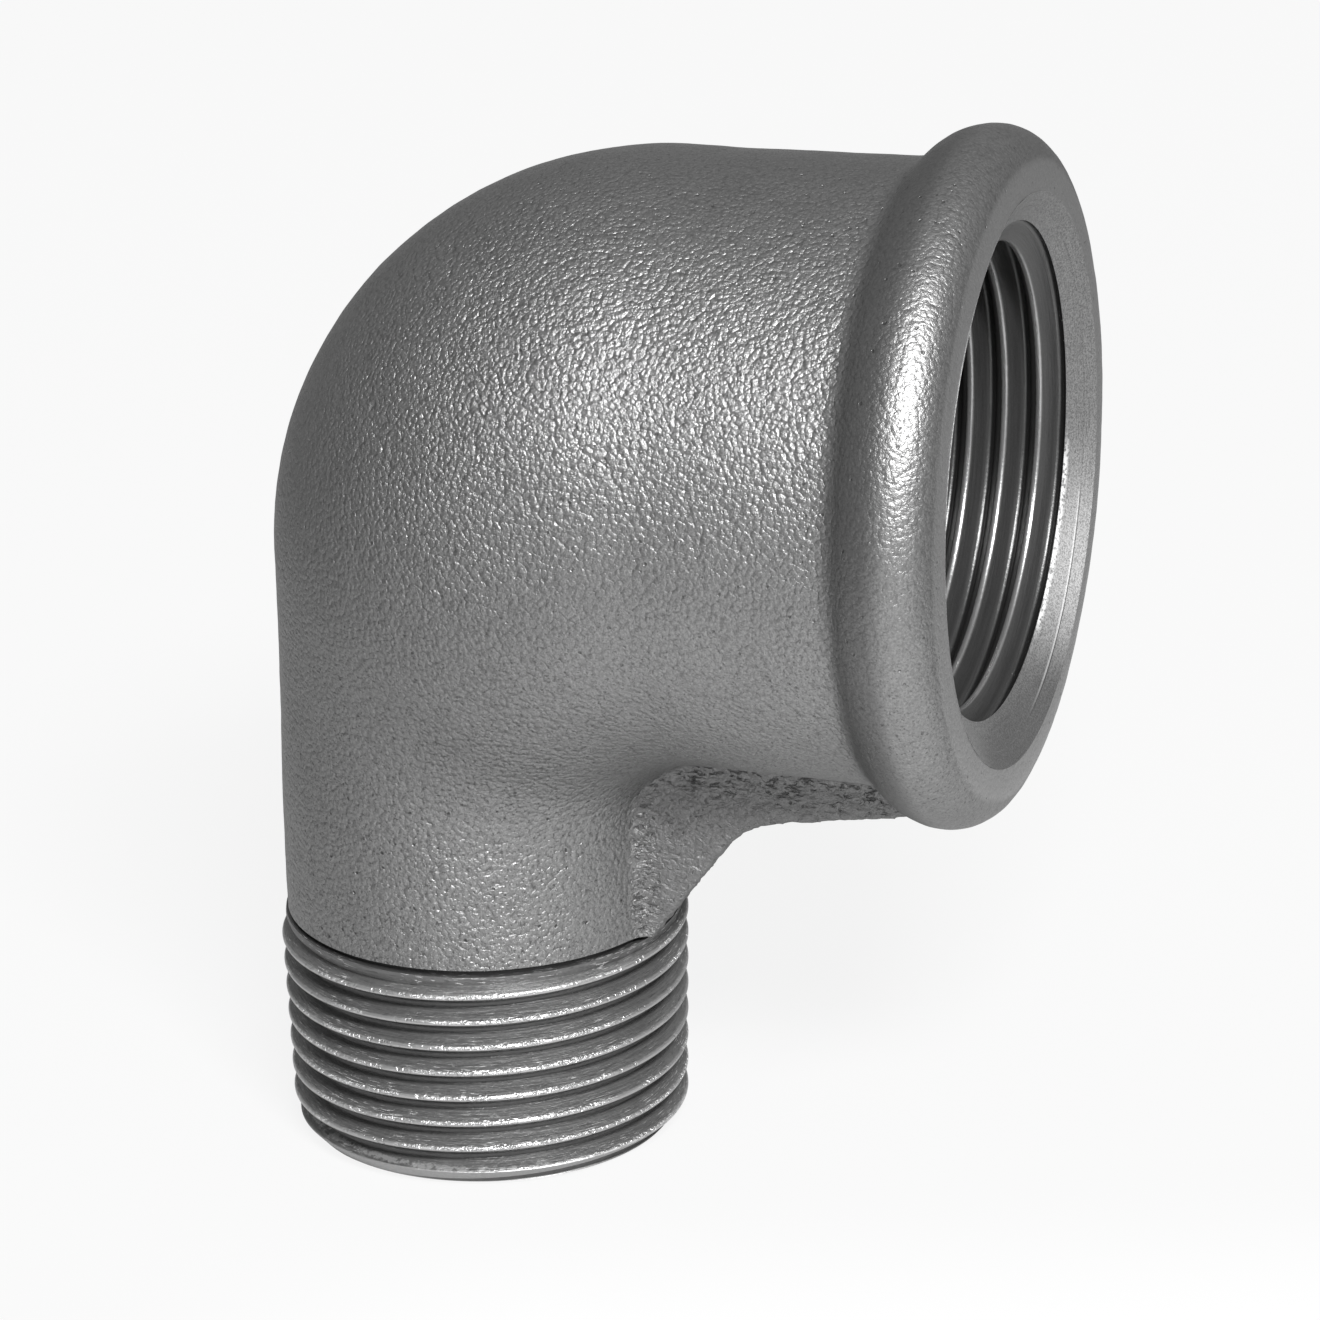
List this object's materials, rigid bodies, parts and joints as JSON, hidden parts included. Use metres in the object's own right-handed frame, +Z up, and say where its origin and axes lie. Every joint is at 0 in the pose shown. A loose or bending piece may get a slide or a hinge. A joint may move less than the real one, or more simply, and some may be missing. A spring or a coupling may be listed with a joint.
{
  "type": "pipe elbow",
  "caption": "Right-angle malleable iron pipe elbow that joins a larger female-threaded socket to a smaller male-threaded spigot.",
  "frame": {"origin": "centre of the spigot's end face, on the axis of its bore", "axes": "+Z runs up the spigot axis towards the bend, +X runs along the socket axis out of its mouth, Y is square to the plane of both axes"},
  "size_m": [0.0507, 0.0452, 0.0702],
  "materials": {
    "cast_skin": "as-cast malleable iron, satin, fine sand grain",
    "cut_thread": "machined, fine turning marks"
  },
  "bodies": {
    "root": {"bend": "cast_skin", "socket": "cast_skin", "socket_bead": "cast_skin", "throat_rib": "cast_skin", "spigot": "cast_skin", "socket_thread": "cut_thread", "spigot_thread": "cut_thread"}
  },
  "joints": []
}
